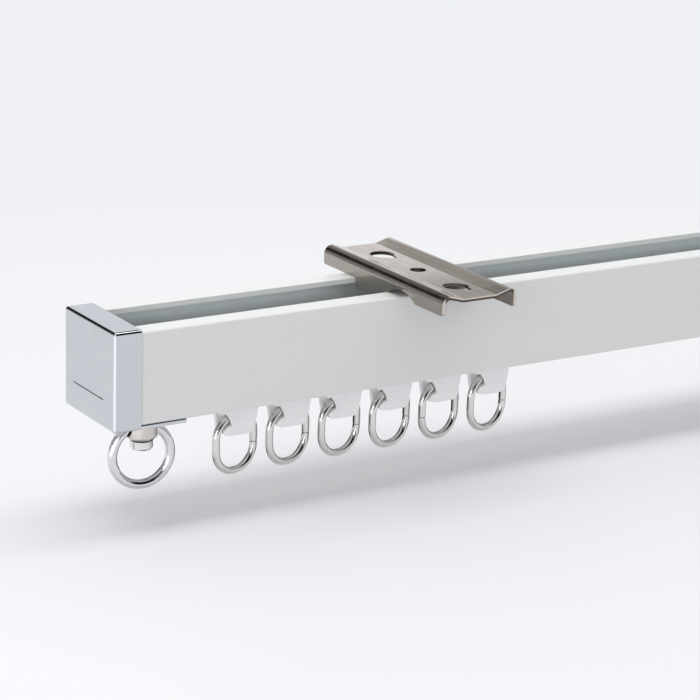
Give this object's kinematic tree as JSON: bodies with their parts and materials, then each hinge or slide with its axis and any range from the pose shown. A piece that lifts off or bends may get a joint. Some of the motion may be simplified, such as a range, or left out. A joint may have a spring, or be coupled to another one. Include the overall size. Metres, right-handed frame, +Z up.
{
  "type": "curtain track",
  "caption": "Square section ceiling curtain track with clip-on folded brackets, chromed end caps with swivel rings, and sliding runners that carry bent wire rings.",
  "frame": {"origin": "midway between the two ceiling screws, on the top face of the bracket webs that meets the ceiling", "axes": "+X along the rail from the end with the runners, +Z up to the ceiling, -Y towards the room"},
  "size_m": [0.6, 0.06, 0.0531],
  "materials": {
    "rail_white": "smooth satin white",
    "cap_chrome": "bright chrome plate",
    "bracket_nickel": "bright nickel plate",
    "swivel_nickel": "matt nickel plate",
    "ring_chrome": "bright chrome plate",
    "ring_nickel": "bright nickel plate",
    "runner_plastic": "milky translucent moulding",
    "wheel_plastic": "plain white moulding"
  },
  "bodies": {
    "track": {"rail": "rail_white", "end_cap_left": "cap_chrome", "end_cap_right": "cap_chrome", "bracket_left": "bracket_nickel", "bracket_right": "bracket_nickel"},
    "swivel_left": {"swivel_left": "swivel_nickel"},
    "swivel_right": {"swivel_right": "swivel_nickel"},
    "end_ring_left": {"end_ring_left": "ring_chrome"},
    "end_ring_right": {"end_ring_right": "ring_chrome"},
    "runner_1": {"runner_1": "runner_plastic"},
    "wheel_near_1": {"wheel_near_1": "wheel_plastic"},
    "wheel_far_1": {"wheel_far_1": "wheel_plastic"},
    "runner_ring_1": {"runner_ring_1": "ring_nickel"},
    "runner_2": {"runner_2": "runner_plastic"},
    "wheel_near_2": {"wheel_near_2": "wheel_plastic"},
    "wheel_far_2": {"wheel_far_2": "wheel_plastic"},
    "runner_ring_2": {"runner_ring_2": "ring_nickel"},
    "runner_3": {"runner_3": "runner_plastic"},
    "wheel_near_3": {"wheel_near_3": "wheel_plastic"},
    "wheel_far_3": {"wheel_far_3": "wheel_plastic"},
    "runner_ring_3": {"runner_ring_3": "ring_nickel"},
    "runner_4": {"runner_4": "runner_plastic"},
    "wheel_near_4": {"wheel_near_4": "wheel_plastic"},
    "wheel_far_4": {"wheel_far_4": "wheel_plastic"},
    "runner_ring_4": {"runner_ring_4": "ring_nickel"},
    "runner_5": {"runner_5": "runner_plastic"},
    "wheel_near_5": {"wheel_near_5": "wheel_plastic"},
    "wheel_far_5": {"wheel_far_5": "wheel_plastic"},
    "runner_ring_5": {"runner_ring_5": "ring_nickel"},
    "runner_6": {"runner_6": "runner_plastic"},
    "wheel_near_6": {"wheel_near_6": "wheel_plastic"},
    "wheel_far_6": {"wheel_far_6": "wheel_plastic"},
    "runner_ring_6": {"runner_ring_6": "ring_nickel"}
  },
  "joints": [
    {"name": "swivel_left_turn", "type": "hinge", "parent": "track", "child": "swivel_left", "pos_m": [-0.2846, 0.005, -0.03467], "axis": [0, 0, 1], "continuous": true},
    {"name": "end_ring_left_swing", "type": "hinge", "parent": "swivel_left", "child": "end_ring_left", "pos_m": [-0.2846, 0.005, -0.03467], "axis": [0.9962, -0.0872, 0], "range_deg": [-90, 90]},
    {"name": "swivel_right_turn", "type": "hinge", "parent": "track", "child": "swivel_right", "pos_m": [0.2846, 0.005, -0.03467], "axis": [0, 0, 1], "continuous": true},
    {"name": "end_ring_right_swing", "type": "hinge", "parent": "swivel_right", "child": "end_ring_right", "pos_m": [0.2846, 0.005, -0.03467], "axis": [0.9962, 0.0872, 0], "range_deg": [-90, 90]},
    {"name": "runner_1_slide", "type": "slide", "parent": "track", "child": "runner_1", "axis": [1, 0, 0], "range_m": [-0.003, 0.072]},
    {"name": "wheel_near_1_roll", "type": "hinge", "parent": "runner_1", "child": "wheel_near_1", "pos_m": [-0.2563, 0.005, -0.02115], "axis": [0, 1, 0], "continuous": true},
    {"name": "wheel_far_1_roll", "type": "hinge", "parent": "runner_1", "child": "wheel_far_1", "pos_m": [-0.2563, 0.005, -0.02115], "axis": [0, 1, 0], "continuous": true},
    {"name": "runner_ring_1_swing", "type": "hinge", "parent": "runner_1", "child": "runner_ring_1", "pos_m": [-0.2563, 0.005, -0.03615], "axis": [0.9703, 0.2419, 0], "range_deg": [-15, 15]},
    {"name": "runner_2_slide", "type": "slide", "parent": "runner_1", "child": "runner_2", "axis": [1, 0, 0], "range_m": [0, 0.072]},
    {"name": "wheel_near_2_roll", "type": "hinge", "parent": "runner_2", "child": "wheel_near_2", "pos_m": [-0.2398, 0.005, -0.02115], "axis": [0, 1, 0], "continuous": true},
    {"name": "wheel_far_2_roll", "type": "hinge", "parent": "runner_2", "child": "wheel_far_2", "pos_m": [-0.2398, 0.005, -0.02115], "axis": [0, 1, 0], "continuous": true},
    {"name": "runner_ring_2_swing", "type": "hinge", "parent": "runner_2", "child": "runner_ring_2", "pos_m": [-0.2398, 0.005, -0.03615], "axis": [0.9703, 0.2419, 0], "range_deg": [-15, 15]},
    {"name": "runner_3_slide", "type": "slide", "parent": "runner_2", "child": "runner_3", "axis": [1, 0, 0], "range_m": [0, 0.072]},
    {"name": "wheel_near_3_roll", "type": "hinge", "parent": "runner_3", "child": "wheel_near_3", "pos_m": [-0.2233, 0.005, -0.02115], "axis": [0, 1, 0], "continuous": true},
    {"name": "wheel_far_3_roll", "type": "hinge", "parent": "runner_3", "child": "wheel_far_3", "pos_m": [-0.2233, 0.005, -0.02115], "axis": [0, 1, 0], "continuous": true},
    {"name": "runner_ring_3_swing", "type": "hinge", "parent": "runner_3", "child": "runner_ring_3", "pos_m": [-0.2233, 0.005, -0.03615], "axis": [0.9703, 0.2419, 0], "range_deg": [-15, 15]},
    {"name": "runner_4_slide", "type": "slide", "parent": "runner_3", "child": "runner_4", "axis": [1, 0, 0], "range_m": [0, 0.072]},
    {"name": "wheel_near_4_roll", "type": "hinge", "parent": "runner_4", "child": "wheel_near_4", "pos_m": [-0.2068, 0.005, -0.02115], "axis": [0, 1, 0], "continuous": true},
    {"name": "wheel_far_4_roll", "type": "hinge", "parent": "runner_4", "child": "wheel_far_4", "pos_m": [-0.2068, 0.005, -0.02115], "axis": [0, 1, 0], "continuous": true},
    {"name": "runner_ring_4_swing", "type": "hinge", "parent": "runner_4", "child": "runner_ring_4", "pos_m": [-0.2068, 0.005, -0.03615], "axis": [0.9703, 0.2419, 0], "range_deg": [-15, 15]},
    {"name": "runner_5_slide", "type": "slide", "parent": "runner_4", "child": "runner_5", "axis": [1, 0, 0], "range_m": [0, 0.072]},
    {"name": "wheel_near_5_roll", "type": "hinge", "parent": "runner_5", "child": "wheel_near_5", "pos_m": [-0.1903, 0.005, -0.02115], "axis": [0, 1, 0], "continuous": true},
    {"name": "wheel_far_5_roll", "type": "hinge", "parent": "runner_5", "child": "wheel_far_5", "pos_m": [-0.1903, 0.005, -0.02115], "axis": [0, 1, 0], "continuous": true},
    {"name": "runner_ring_5_swing", "type": "hinge", "parent": "runner_5", "child": "runner_ring_5", "pos_m": [-0.1903, 0.005, -0.03615], "axis": [0.9703, 0.2419, 0], "range_deg": [-15, 15]},
    {"name": "runner_6_slide", "type": "slide", "parent": "runner_5", "child": "runner_6", "axis": [1, 0, 0], "range_m": [0, 0.072]},
    {"name": "wheel_near_6_roll", "type": "hinge", "parent": "runner_6", "child": "wheel_near_6", "pos_m": [-0.1738, 0.005, -0.02115], "axis": [0, 1, 0], "continuous": true},
    {"name": "wheel_far_6_roll", "type": "hinge", "parent": "runner_6", "child": "wheel_far_6", "pos_m": [-0.1738, 0.005, -0.02115], "axis": [0, 1, 0], "continuous": true},
    {"name": "runner_ring_6_swing", "type": "hinge", "parent": "runner_6", "child": "runner_ring_6", "pos_m": [-0.1738, 0.005, -0.03615], "axis": [0.9703, 0.2419, 0], "range_deg": [-15, 15]}
  ]
}
